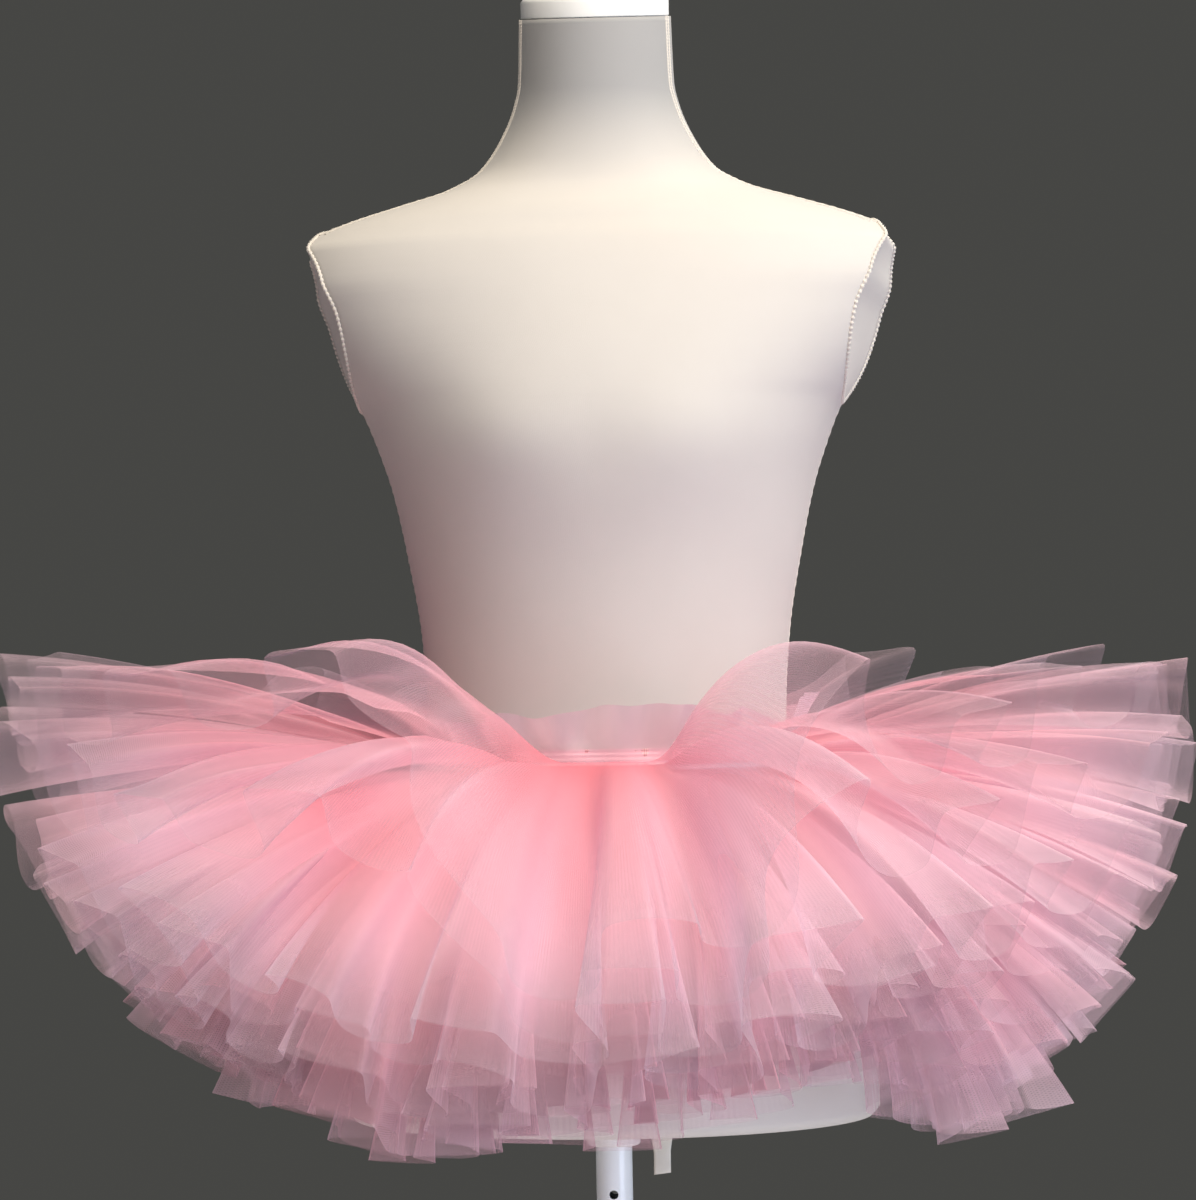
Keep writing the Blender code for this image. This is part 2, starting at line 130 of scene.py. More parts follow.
# Soft bumps round the waist
BUMPS = {
    # name: height, middle in degrees, width in degrees
    "veil_leans": (math.radians(7), 16, 10),
    "front_folds_larger": (0.35, -4, 40),
    "hip_covered": (0.10, 20, 13),
    # painted shade: a deeper, darker pink in front, where the layers pile up
    "front_painted_depth": (0.34, -12, 60),
    "header_low": (-0.60, -16, 15),
    "header_high": (0.25, 13, 12),
}
# Uneven values round the waist, each from its own seed
UNEVEN = {
    # name: cells round the waist, seed, cells along the length, changes from level to level
    "rise": (17, 5, 1, 3),
    "bend": (13, 6, 1, 3),
    "length": (19, 9, 1, 4),
    "wave_place": (23, 1, 1, 0.9),
    "wave_bent": (31, 11, 2, 2),
    "wave_size": (37, 2, 1, 1.2),
    "box_share": (29, 3, 1, 1.5),
    "lean": (19, 4, 1, 1.5),
    "pleat_place": (41, 7, 1, 2),
    "pleat_size": (33, 8, 1, 4),
    "ripple": (34, 10, 3, 3),
    "gathers": (120, 12, 2, 5),
    "plies": (29, 14, 1, 3),
    # random tone in the tulle's pink, and how its painted shade varies
    "tone_and_painted_depth": (24, 13, 3, 2),
    "header_lumps": (19, 21, 1, 1),
    "header_small_lumps": (47, 22, 1, 1),
    "header_wave": (71, 23, 2, 1),
}
WAVE_AT_ROOT = 0.00015
WAVE_GROWTH = 1.15
LOW_TIERS_FLATTER = 0.40
TIER_LENGTHS = (0.262, 0.252, 0.243, 0.238, 0.232, 0.228)
FAN = np.array((
    # round, top, second, lowest, bend_top, bend_second, bend_lowest, wave, length, low_length
    (-180, 5, -14, -62, 18, 16, 34, 0.028, 1.00, 0.94),
    (-135, 6, -14, -63, 18, 16, 34, 0.029, 1.00, 0.92),
    (-90, 9.5, -14, -65, 18, 16, 34, 0.030, 1.00, 0.88),
    (-62, 9, -15, -64, 24, 20, 34, 0.028, 1.00, 0.87),
    (-44, 8, -21, -62, 36, 26, 34, 0.025, 1.00, 0.89),
    (-33, 10, -28, -63, 48, 31, 35, 0.022, 1.00, 0.96),
    (-24, 15, -33, -64, 56, 34, 36, 0.020, 0.99, 1.00),
    (-16, 11, -35, -64, 52, 36, 36, 0.019, 0.98, 0.98),
    (-8, -18, -36, -64, 40, 36, 36, 0.019, 0.97, 0.96),
    (4, -20, -36, -63, 36, 36, 36, 0.019, 0.95, 0.92),
    (12, -15, -34, -59, 44, 35, 36, 0.020, 0.93, 0.85),
    (19, 12, -31, -56, 54, 33, 36, 0.021, 0.92, 0.81),
    (28, 3, -27, -55, 42, 30, 35, 0.023, 0.92, 0.81),
    (43, 7, -19, -58, 28, 24, 34, 0.026, 0.94, 0.88),
    (60, 9, -16, -60, 20, 18, 34, 0.028, 0.95, 1.00),
    (90, 8.5, -16, -64.5, 18, 16, 34, 0.0285, 0.95, 1.01),
    (135, 6, -14, -63, 18, 16, 34, 0.029, 0.98, 0.96),
), dtype=float)
PHASE_WANDER = ((2, 0.35, 0.6), (3, 0.70, -0.2), (5, 0.30, 4.0), (8, 0.20, 1.3))
HEIGHT_WANDER = ((3, 0.13, 1.1), (7, 0.10, 0.4), (10, 0.08, 2.6))
LENGTH_WANDER = ((4, 0.022, 0.3), (9, 0.018, 1.7))

# Loose layers of tulle: the tier that a layer belongs to, and its level in the fan, from 0 for
# the top tier to 5 for the lowest.
LAYERS = (
    # tier, level
    (1, 0.00), (1, 0.40), (2, 0.90), (2, 1.40), (3, 2.00),
    (4, 2.60), (4, 3.15), (5, 3.70), (6, 4.30), (6, 4.90),
)
LAYER_COLUMNS = 960
LAYER_ROWS = 22
SHADOW_EVERY = 3             # only each third layer casts a shadow, because net lets light pass
HEM_LINE = 0.985             # where the hem's closer edge starts, as a share of the length
PLIES_FULL = 2.8             # what the shorter plies inside a layer's hem add to its closeness
CUT_ROUND = (2.6, 1.7)       # length of a strip before it is gathered, top and lowest layer
# Creases, listed one by one: direction at the gathers and at the hem in degrees, level in the fan
# and how many levels it fades over, start and end as shares of the length, height in mm, width in
# degrees
CREASES = (
    # round_root, round_hem, middle, spread, start, end, height, width
    (12, 17, 0.0, 0.35, 0.10, 1.10, -9.0, 1.6),
    (-18, -26, 0.0, 0.30, 0.15, 1.10, -8.0, 1.7),
    (-24, -33, 0.2, 0.30, 0.20, 1.10, 7.0, 1.4),
    (-30, -41, 0.1, 0.35, 0.25, 1.10, -9.0, 1.8),
    (-44, -52, 0.1, 0.30, 0.30, 1.10, 9.0, 2.2),
    (-62, -58, 0.4, 0.40, 0.20, 1.10, -8.0, 1.8),
    (-72, -79, 0.0, 0.30, 0.35, 1.10, 10.0, 2.4),
    (36, 31, 0.3, 0.40, 0.15, 0.95, -8.0, 1.6),
    (44, 51, 0.0, 0.35, 0.25, 1.10, 8.0, 1.9),
    (68, 63, 0.2, 0.30, 0.20, 1.10, -9.0, 2.0),
    (80, 88, 0.0, 0.30, 0.35, 1.10, 9.0, 2.3),
    (-6, 2, 1.2, 0.45, 0.20, 1.10, 8.0, 2.0),
    (-10, -14, 2.0, 0.50, 0.25, 1.10, -8.0, 1.8),
    (8, 5, 2.4, 0.50, 0.30, 1.10, 9.0, 2.2),
    (24, 29, 1.6, 0.40, 0.25, 1.10, -8.0, 1.9),
    (-36, -32, 1.8, 0.40, 0.20, 1.10, 8.0, 2.1),
    (52, 57, 2.2, 0.50, 0.20, 1.10, 9.0, 2.0),
    (-55, -61, 2.6, 0.50, 0.25, 1.10, -8.0, 2.2),
    (-20, -24, 4.4, 0.60, 0.30, 1.10, 9.0, 2.4),
    (18, 15, 4.2, 0.60, 0.30, 1.10, -8.0, 2.1),
    (104, 110, 0.2, 0.40, 0.25, 1.10, -9.0, 2.1),
    (128, 121, 0.6, 0.40, 0.20, 1.10, 9.0, 2.3),
    (150, 158, 0.0, 0.35, 0.30, 1.10, -8.0, 1.8),
    (176, 170, 0.3, 0.40, 0.20, 1.10, 9.0, 2.4),
    (-160, -166, 0.1, 0.35, 0.25, 1.10, -9.0, 2.0),
    (-138, -131, 0.5, 0.40, 0.30, 1.10, 8.0, 2.2),
    (-112, -117, 0.2, 0.40, 0.20, 1.10, -8.0, 1.9),
    (140, 134, 2.0, 0.50, 0.25, 1.10, 9.0, 2.2),
    (-150, -143, 2.2, 0.50, 0.25, 1.10, -8.0, 2.0),
    (-96, -102, 3.0, 0.60, 0.30, 1.10, 9.0, 2.3),
    (98, 93, 3.2, 0.60, 0.30, 1.10, -9.0, 2.2),
)


# ---------------------------------------------------------------- shader maths
def operator(operation, reflected=False):
    """A method that adds one Math node."""
    def method(self, other):
        pair = (other, self) if reflected else (self, other)
        return self.shading.maths(operation, *pair)
    return method


class Value:
    """A shader socket. Its operators add Math nodes."""

    def __init__(self, shading, socket):
        self.shading = shading
        self.socket = socket

    __add__, __radd__ = operator("ADD"), operator("ADD", True)
    __sub__, __rsub__ = operator("SUBTRACT"), operator("SUBTRACT", True)
    __mul__, __rmul__ = operator("MULTIPLY"), operator("MULTIPLY", True)
    __truediv__ = operator("DIVIDE")


class Shading:
    """A material or a world, and the nodes that shade it."""

    def __init__(self, name, library="materials"):
        self.owner = getattr(bpy.data, library).new(name)
        self.owner.use_nodes = True
        self.tree = self.owner.node_tree
        self.tree.nodes.clear()

    def node(self, kind, settings=None, sockets=None, out=0):
        """Adds a node: its settings first, then its sockets' values or links. Gives one output."""
        made = self.tree.nodes.new(kind)
        for key, value in (settings or {}).items():
            setattr(made, key, value)
        for key, value in (sockets or {}).items():
            if isinstance(value, Value):
                self.tree.links.new(value.socket, made.inputs[key])
            else:
                made.inputs[key].default_value = value
        return Value(self, made.outputs[out]) if made.outputs else made

    def maths(self, operation, *values):
        """A Math node on sockets or plain numbers."""
        return self.node("ShaderNodeMath", {"operation": operation}, dict(enumerate(values)))

    def principled(self, colour, roughness, others=None):
        """The main shader of a surface, with any other sockets."""
        sockets = {"Base Color": colour, "Roughness": roughness, **(others or {})}
        return self.node("ShaderNodeBsdfPrincipled", None, sockets)

    def blend(self, share, first, second):
        """A colour between two colours, by a share from 0 to 1."""
        sockets = {"Factor": share, 6: first, 7: second}
        return self.node("ShaderNodeMix", {"data_type": "RGBA"}, sockets, out=2)

    def attribute(self, name):
        return self.node("ShaderNodeAttribute", {"attribute_name": name}, out="Fac")

    def noise(self, places, scale, detail=2.0, roughness=0.5):
        """Cloudy noise between 0 and 1."""
        sockets = {"Vector": places, "Scale": scale, "Detail": detail, "Roughness": roughness}
        return self.node("ShaderNodeTexNoise", None, sockets, out="Fac")

    def places(self):
        """Object coordinates."""
        return self.node("ShaderNodeTexCoord", None, None, out="Object")

    def cloth_map(self):
        """The sheet's own map, in metres round and along it, as two values."""
        return self.apart(self.node("ShaderNodeUVMap", {"uv_map": "cloth"}))[:2]

    def apart(self, places):
        """A vector's three parts."""
        made = self.tree.nodes.new("ShaderNodeSeparateXYZ")
        self.tree.links.new(places.socket, made.inputs[0])
        return [Value(self, out) for out in made.outputs]

    def bump(self, height, strength, distance):
        sockets = {"Height": height, "Strength": strength, "Distance": distance}
        return self.node("ShaderNodeBump", None, sockets)

    def finish(self, shader, kind="Material"):
        self.node(f"ShaderNodeOutput{kind}", None, {"Surface": shader})
        return self.owner


def lattice(shading, across, along, pitch):
    """Net of six-sided holes: the sum of three cosines at 60 degrees, 3 in a hole's middle."""
    scale = TURN / (pitch * math.cos(math.pi / 6))
    slope = math.sin(math.pi / 3)
    first = shading.maths("COSINE", across * scale)
    second = shading.maths("COSINE", (across * 0.5 + along * slope) * scale)
    third = shading.maths("COSINE", (across * 0.5 - along * slope) * scale)
    return first + second + third


# ---------------------------------------------------------------- materials
def tulle_material():
    """Sheer nylon net, closed up where seen aslant, with painted shade: a deeper pink where plies
    pile up.
    """
    s = Shading("tulle_net")
    across, along = s.cloth_map()
    net = lattice(s, across, along, 0.0013)
    facing = s.node("ShaderNodeLayerWeight", None, {"Blend": 0.5}, out="Facing")
    slant = s.maths("MAXIMUM", 1.0 - facing, 0.40)
    depth = (net * 0.02 - s.attribute("gather") * 0.21) / slant
    alpha = 1.0 - s.maths("EXPONENT", depth)
    # Painted shade: the pink deepens and darkens towards the gathers and in front, for light
    # tinted and lost through many plies.
    colour = s.blend(s.attribute("tone_and_painted_depth"), (0.99, 0.755, 0.865, 1.0), (0.99, 0.36, 0.44, 1.0))
    cloth = s.principled(colour, 0.55, {
        "Sheen Weight": 0.25, "Sheen Roughness": 0.4, "Specular IOR Level": 0.3})
    through = s.node("ShaderNodeBsdfTranslucent", None, {"Color": colour})
    both = s.node("ShaderNodeMixShader", None, {0: 0.5, 1: cloth, 2: through})
    gaps = s.node("ShaderNodeBsdfTransparent")
    return s.finish(s.node("ShaderNodeMixShader", None, {0: alpha, 1: gaps, 2: both}))


def jersey_material():
    """Fine white knit, slightly uneven. Up the neck its colour is darkened to grey as painted
    shade.
    """
    s = Shading("white_jersey_knit")
    across, along = s.cloth_map()
    wale = s.maths("SINE", across * (TURN / 0.0011))
    course = s.maths("SINE", along * (TURN / 0.0009) + s.maths("ABSOLUTE", wale) * 1.6)
    stitch = wale * course
    cloud = s.noise(s.places(), 14.0, 4.0, 0.6)
    shade = s.maths("ADD", stitch * 0.04, cloud)
    full = s.blend(shade, (0.59, 0.565, 0.53, 1.0), (0.64, 0.615, 0.58, 1.0))
    _, _, height = s.apart(s.places())
    # Painted shade: the jersey's colour turns dark grey up the neck.
    neck_painted_shade = s.maths("MINIMUM", s.maths("MAXIMUM", (height - NECK_SHADE_FROM) / 0.06, 0.0), 1.0)
    colour = s.blend(neck_painted_shade, full, (0.34, 0.34, 0.34, 1.0))
    return s.finish(s.principled(colour, 0.9, {
        "Sheen Weight": 0.2, "Sheen Roughness": 0.5, "Specular IOR Level": 0.25,
        "Normal": s.bump(stitch, 0.10, 0.0002)}))


def thread_material():
    """Sewing thread along the cover's seams."""
    s = Shading("seam_thread")
    cloud = s.noise(s.places(), 900.0)
    colour = s.blend(cloud, (0.58, 0.54, 0.48, 1.0), (0.72, 0.69, 0.64, 1.0))
    return s.finish(s.principled(colour, 0.7, {"Sheen Weight": 0.2}))


def plastic_material():
    """Moulded white plastic with a faint uneven gloss."""
    s = Shading("moulded_plastic")
    cloud = s.noise(s.places(), 40.0, 3.0)
    fine = s.noise(s.places(), 900.0, 2.0)
    colour = s.blend(cloud, (0.74, 0.755, 0.745, 1.0), (0.82, 0.835, 0.83, 1.0))
    roughness = 0.30 + cloud * 0.14
    return s.finish(s.principled(colour, roughness, {"Normal": s.bump(fine, 0.08, 0.0002)}))


def paint_material():
    """White enamel on steel, with an orange-peel skin and light wear."""
    s = Shading("white_enamel")
    cloud = s.noise(s.places(), 22.0, 4.0, 0.6)
    peel = s.noise(s.places(), 420.0, 1.0)
    wear = s.maths("SMOOTH_MIN", s.maths("MAXIMUM", cloud - 0.60, 0.0) * 4.0, 1.0, 0.1)
    colour = s.blend(wear, (0.80, 0.83, 0.86, 1.0), (0.66, 0.69, 0.71, 1.0))
    return s.finish(s.principled(colour, 0.26 + cloud * 0.16, {
        "Coat Weight": 0.3, "Coat Roughness": 0.15, "Normal": s.bump(peel, 0.12, 0.0003)}))


def elastic_material():
    """Woven pink elastic: cords that run round the waist, crossed by fine gathers."""
    s = Shading("pink_elastic_web")
    across, along = s.cloth_map()
    cords = s.maths("SINE", along * (TURN / 0.0030))
    threads = s.maths("SINE", across * (TURN / 0.0014))
    cloud = s.noise(s.places(), 60.0)
    shade = cords * 0.22 + threads * 0.12 + cloud
    colour = s.blend(shade, (0.80, 0.44, 0.48, 1.0), (0.95, 0.66, 0.68, 1.0))
    return s.finish(s.principled(colour, 0.75, {
        "Sheen Weight": 0.3, "Normal": s.bump(cords + threads * 0.5, 0.5, 0.0004)}))


def tape_material():
    """Plain woven cotton tape."""
    s = Shading("cotton_tape")
    across, along = s.cloth_map()
    weave = s.maths("SINE", across * (TURN / 0.0008)) * s.maths("SINE", along * (TURN / 0.0008))
    cloud = s.noise(s.places(), 80.0)
    colour = s.blend(cloud, (0.62, 0.60, 0.53, 1.0), (0.78, 0.76, 0.70, 1.0))
    return s.finish(s.principled(colour, 0.9, {"Normal": s.bump(weave, 0.5, 0.0002)}))


def floor_material():
    s = Shading("studio_floor")
    cloud = s.noise(s.places(), 1.5)
    colour = s.blend(cloud, (0.66, 0.66, 0.65, 1.0), (0.70, 0.70, 0.69, 1.0))
    return s.finish(s.principled(colour, 0.8))


# ---------------------------------------------------------------- meshes
def grid_mesh(name, points, finish, wrap=False, cloth_map=None, caps=(), attributes=None):
    """Mesh over a grid of points, rows by columns by 3, with quads between them.

    wrap joins the last column to the first. caps names rows, 0 or -1, that close on their
    middle. cloth_map gives the sheet's map, and attributes give one value a point.
    """
    rows, columns = points.shape[:2]
    index = np.arange(rows * columns).reshape(rows, columns)
    across = np.concatenate([index, index[:, :1]], axis=1) if wrap else index
    quads = np.stack([across[:-1, :-1], across[:-1, 1:], across[1:, 1:], across[1:, :-1]], -1)
    quads = quads.reshape(-1, 4)
    places = points.reshape(-1, 3)
    loops = quads.reshape(-1)
    sizes = np.full(len(quads), 4)
    for row in caps:
        centre = len(places)
        places = np.vstack([places, points[row].mean(0)])
        ring, after = across[row, :-1], across[row, 1:]
        pair = (after, ring) if row == 0 else (ring, after)
        fan = np.stack([*pair, np.full(len(ring), centre)], -1)
        loops = np.concatenate([loops, fan.reshape(-1)])
        sizes = np.concatenate([sizes, np.full(len(fan), 3)])
    mesh = bpy.data.meshes.new(name)
    mesh.vertices.add(len(places))
    mesh.vertices.foreach_set("co", places.astype(np.float32).ravel())
    mesh.loops.add(len(loops))
    mesh.loops.foreach_set("vertex_index", loops.astype(np.int32))
    mesh.polygons.add(len(sizes))
    starts = np.concatenate([[0], np.cumsum(sizes)[:-1]])
    mesh.polygons.foreach_set("loop_start", starts.astype(np.int32))
    mesh.update(calc_edges=True)
    mesh.shade_smooth()
    if cloth_map is not None:
        u, v = cloth_map
        if wrap:
            step = u[:, -1:] - u[:, -2:-1]
            u = np.concatenate([u, u[:, -1:] + step], axis=1)
            v = np.concatenate([v, v[:, :1]], axis=1)
        both = np.stack([u, v], -1)
        corners = np.stack([both[:-1, :-1], both[:-1, 1:], both[1:, 1:], both[1:, :-1]], 2)
        flat = np.zeros((len(loops), 2))
        flat[:corners.size // 2] = corners.reshape(-1, 2)
        mesh.uv_layers.new(name="cloth").data.foreach_set("uv", flat.astype(np.float32).ravel())
    for key, values in (attributes or {}).items():
        made = mesh.attributes.new(key, "FLOAT", "POINT")
        made.data.foreach_set("value", values.astype(np.float32).ravel())
    mesh.materials.append(finish)
    made = bpy.data.objects.new(name, mesh)
    bpy.context.scene.collection.objects.link(made)
    return made


def place(piece, body, slot, *nodes):
    """Puts a piece on a body, in place of the nodes named. The slot is not used."""
    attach(piece, body)
    if nodes:
        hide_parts(*nodes)
    return piece


def turned(name, profile, finish, sides=96):
    """A round piece turned about Z from a closed profile of (radius, height) points."""
    profile = np.array(profile)
    around = np.arange(sides) * TURN / sides
    radius, height = profile[:, :1], profile[:, 1:]
    points = np.stack([radius * np.cos(around), radius * np.sin(around),
                       height + 0 * around], -1)
    points = np.concatenate([points, points[:1]])
    made = grid_mesh(name, points, finish, wrap=True)
    return welded(made)


def welded(made, angle=40):
    """Joins points that meet, turns faces outwards and keeps sharp corners sharp."""
    builder = bmesh.new()
    builder.from_mesh(made.data)
    bmesh.ops.remove_doubles(builder, verts=builder.verts, dist=1e-6)
    bmesh.ops.recalc_face_normals(builder, faces=builder.faces)
    builder.to_mesh(made.data)
    builder.free()
    made.data.shade_smooth()
    made.data.set_sharp_from_angle(angle=math.radians(angle))
    return made


def rounded(profile, radius, steps=4):
    """A closed profile with each corner cut by an arc of about the given radius."""
    profile = [np.array(p, float) for p in profile]
    made = []
    for i, corner in enumerate(profile):
        before = profile[i - 1] - corner
        after = profile[(i + 1) % len(profile)] - corner
        reach = min(radius, 0.45 * np.linalg.norm(before), 0.45 * np.linalg.norm(after))
        start = corner + before / np.linalg.norm(before) * reach
        end = corner + after / np.linalg.norm(after) * reach
        for k in range(steps + 1):
            t = k / steps
            made.append((1 - t) ** 2 * start + 2 * t * (1 - t) * corner + t**2 * end)
    return made


def tube(name, path, radius, finish, sides=6, wrap=False):
    """A thread along a path of points: circles of the given radii, square to the path.

    Each circle's first direction is the path's direction crossed with a fixed one that the path
    never follows.
    """
    path = np.asarray(path)
    if wrap:
        ahead = np.roll(path, -1, axis=0) - np.roll(path, 1, axis=0)
    else:
        ahead = np.gradient(path, axis=0)
    ahead /= np.linalg.norm(ahead, axis=1, keepdims=True)
    first = np.cross(ahead, (0.93, 0.11, 0.35))
    first /= np.linalg.norm(first, axis=1, keepdims=True)
    second = np.cross(ahead, first)
    around = np.arange(sides) * TURN / sides
    reach = np.broadcast_to(radius, len(path))[:, None, None]
    ring = first[:, None] * np.cos(around)[:, None] + second[:, None] * np.sin(around)[:, None]
    points = path[:, None] + reach * ring
    if wrap:
        points = np.concatenate([points, points[:1]])
        return welded(grid_mesh(name, points, finish, wrap=True), 180)
    return welded(grid_mesh(name, points, finish, wrap=True, caps=(0, -1)), 180)


# ---------------------------------------------------------------- dress form
def column_at(table, column, where):
    """A table's column read at any height, by a cubic through its rows that never overshoots.

    A row's slope is the harmonic mean of the slopes on its two sides, or 0 where they differ
    in sign.
    """
    knots, values = table[:, 0], table[:, column]
    slopes = np.diff(values) / np.diff(knots)
    before, after = slopes[:-1], slopes[1:]
    mean = np.where(before * after > 0, 2 * before * after / (before + after + 1e-12), 0.0)
    slope = np.concatenate([slopes[:1], mean, slopes[-1:]])
    return hermite(knots, values, slope, where)


def hermite(knots, values, slope, where):
    """Cubic through knots with given values and slopes."""
    i = np.clip(np.searchsorted(knots, where, side="right") - 1, 0, len(knots) - 2)
    step = knots[i + 1] - knots[i]
    t = (where - knots[i]) / step
    start = values[i] * (2 * t**3 - 3 * t**2 + 1) + slope[i] * step * (t**3 - 2 * t**2 + t)
    end = values[i + 1] * (3 * t**2 - 2 * t**3) + slope[i + 1] * step * (t**3 - t**2)
    return start + end


def section(height):
    """Half width, front depth, back depth and side line of the form at heights above it.

    Below the shoulders the depths are averaged over a short span, so that no row shows.
    """
    height = np.asarray(height, float)
    span = 0.011 * np.clip((0.54 - height) / 0.05, 0, 1) * np.clip((height - 0.02) / 0.04, 0, 1)
    width = column_at(FORM_SECTIONS, 1, height)
    depths = [sum(weight * column_at(FORM_SECTIONS, column, height + step * span)
                  for step, weight in ((-2, 0.12), (-1, 0.23), (0, 0.30), (1, 0.23), (2, 0.12)))
              for column in (2, 3, 4)]
    return [width, *depths]


def plate_reach(height):
    """Half the depth of the flat side: the arm plate's oval, or a narrow edge."""
    away = (height - PLATE_CENTRE) / PLATE_HALF_HEIGHT
    oval = PLATE_HALF_DEPTH * np.sqrt(np.maximum(0.0, 1.0 - away * away))
    return np.maximum(SIDE_EDGE, oval)


def neck_tilt(height):
    """Rise towards the back, per metre, which grows up the neck."""
    return NECK_SLOPE * np.clip((height - NECK_SLOPE_FROM) / (NECK_TOP - NECK_SLOPE_FROM), 0, 1)


def form_surface(heights, grow=0.0, arc=30, plate=10):
    """Rows of points round the form: two arcs of ellipses a side, cut off by the arm plate.

    Each point is moved out by grow across its section, and the neck's rows tilt.
    """
    height = np.asarray(heights, float)[:, None]
    half_width, front, back, side_line = section(height)
    reach = plate_reach(height)
    slant = math.tan(PLATE_TURN) * reach / PLATE_HALF_DEPTH
    step = np.arange(arc) / arc
    stop = np.arccos(reach / front)
    front_x = half_width * np.sin(stop * step)
    front_y = side_line - front * np.cos(stop * step)
    start = half_width * np.sin(stop)
    along = 2 * reach * np.arange(plate) / plate
    plate_x, plate_y = start + along * slant, side_line - reach + along
    stop = np.arccos(reach / back)
    width = (start + 2 * reach * slant) / np.sin(stop)
    step = 1 - np.arange(arc + 1) / arc
    back_x, back_y = width * np.sin(stop * step), side_line + back * np.cos(stop * step)
    x = np.concatenate([front_x, plate_x, back_x], axis=1)
    y = np.concatenate([front_y, plate_y, back_y], axis=1)
    x = np.concatenate([x, -x[:, -2:0:-1]], axis=1)
    y = np.concatenate([y, y[:, -2:0:-1]], axis=1)
    swell = np.exp(-((np.abs(x) - BUST_APART) / BUST_WIDE) ** 2)
    swell = swell * np.exp(-((height - BUST_HEIGHT) / BUST_TALL) ** 2)
    y = y - BUST_RISE * swell * (y < side_line)
    ahead_x = np.roll(x, -1, axis=1) - np.roll(x, 1, axis=1)
    ahead_y = np.roll(y, -1, axis=1) - np.roll(y, 1, axis=1)
    length = np.hypot(ahead_x, ahead_y)
    x = x + grow * ahead_y / length
    y = y - grow * ahead_x / length
    z = FORM_BOTTOM + height + neck_tilt(height) * y
    return np.stack([x, y, z], -1)


def lengths_round(points):
    """Distances along each closed row of points, from its first point."""
    step = np.linalg.norm(np.diff(points, axis=1), axis=-1)
    return np.concatenate([np.zeros((len(points), 1)), np.cumsum(step, axis=1)], axis=1)


def make_torso(jersey):
    """The form's padded body in its jersey cover, with a turned-in edge at the bottom."""
    level = np.arange(0.006, NECK_TOP, 0.0042)
    oval = PLATE_CENTRE + PLATE_HALF_HEIGHT * np.cos(np.linspace(0, math.pi, 31))
    heights = np.unique(np.concatenate([[0.0, 0.0015, 0.0035], level, oval, [NECK_TOP]]))
    body = form_surface(heights)
    under = [form_surface([0.0], grow=-inset)[0] for inset in (0.09, 0.05, 0.02, 0.006)]
    points = np.concatenate([np.array(under), body])
    along = np.concatenate([-np.array((0.09, 0.05, 0.02, 0.006)), heights])[:, None]
    round_map = lengths_round(points)
    made = grid_mesh("jersey_torso", points, jersey, wrap=True, caps=(0, -1),
                     cloth_map=(round_map, along + 0 * round_map))
    return place(made, "form", "white_jersey", "torso")


def plate_edge(side, count):
    """Points round an arm plate's rim: the oval's angle gives height and depth."""
    angle = np.arange(count) * TURN / count
    height = PLATE_CENTRE + PLATE_HALF_HEIGHT * np.sin(angle)
    depth = -PLATE_HALF_DEPTH * np.cos(angle)
    half_width, front, _, side_line = section(height)
    reach = np.abs(depth)
    start = half_width * np.sin(np.arccos(reach / front))
    x = start + (depth + reach) * math.tan(PLATE_TURN) * reach / PLATE_HALF_DEPTH
    return np.stack([side * x, side_line + depth, FORM_BOTTOM + height], -1)


def seam_line(side, forward, low, high, count):
    """Points up the form's side at an angle ahead of it, between two heights."""
    height = np.linspace(low, high, count)
    half_width, front, _, side_line = section(height)
    x = half_width * math.cos(forward) * side
    y = side_line - front * math.sin(forward)
    return np.stack([x, y, FORM_BOTTOM + height + neck_tilt(height) * y], -1)


def make_seams(thread):
    """Overlocked seams round the arm plates, and double seams up the shoulders and neck."""
    bead = 0.0030
    for side, word in ((1, "left"), (-1, "right")):
        count = 5 * round(0.338 / bead)
        rim = plate_edge(side, count)
        radius = 0.00125 + 0.00035 * np.cos(np.arange(count) * TURN / 5)
        place(tube(f"arm_plate_seam_{word}", rim, radius, thread, wrap=True), "form",
              "white_jersey")
        for number, forward in enumerate((0.26, 0.34)):
            line = seam_line(side, forward, 0.5475, NECK_TOP, 220)
            radius = 0.00075 + 0.00015 * np.cos(np.arange(220) * 1.9)
            place(tube(f"shoulder_seam_{word}_{number + 1}", line, radius, thread), "form",
                  "white_jersey")
        line = seam_line(side, 0.0, 0.004, PLATE_CENTRE - PLATE_HALF_HEIGHT, 260)
        radius = 0.0007 + 0.0002 * np.cos(np.arange(260) * 1.7)
        place(tube(f"side_seam_{word}", line, radius, thread), "form", "white_jersey")


def make_neck_cap(plastic):
    """Low cap on the neck: an upright rim with a rounded top edge."""
    low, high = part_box("neck_cap")
    rows = []
    profile = ((0.0, 0.0006), (0.0006, 0.0), (0.0100, 0.0), (0.0113, 0.0005), (0.0124, 0.0016),
               (0.0132, 0.0034), (0.0138, 0.0062), (0.0140, 0.0090))
    for rise, inset in profile:
        ring = form_surface([NECK_TOP], grow=-(0.0012 + inset))[0]
        ring[:, 2] += SEAM_GAP + rise
        rows.append(ring)
    made = grid_mesh("neck_cap_moulding", np.array(rows), plastic, wrap=True, caps=(0, -1))
    return place(welded(made), "form", "white_plastic", "neck_cap")


# ---------------------------------------------------------------- tutu
def by_direction(turns, column):
    """A column of the FAN table at directions round the waist, smooth and closed."""
    around = np.radians(FAN[:, 0])
    value = np.tile(FAN[:, column], 3)
    around = np.concatenate([around - TURN, around, around + TURN])
    wrapped = (np.asarray(turns) + math.pi) % TURN - math.pi
    return hermite(around, value, np.gradient(value, around), wrapped)


def wander(turns, table, shift_all=0.0):
    """Sum of slow sines round the waist."""
    return sum(share * np.sin(cycles * turns + shift + shift_all)
               for cycles, share, shift in table)


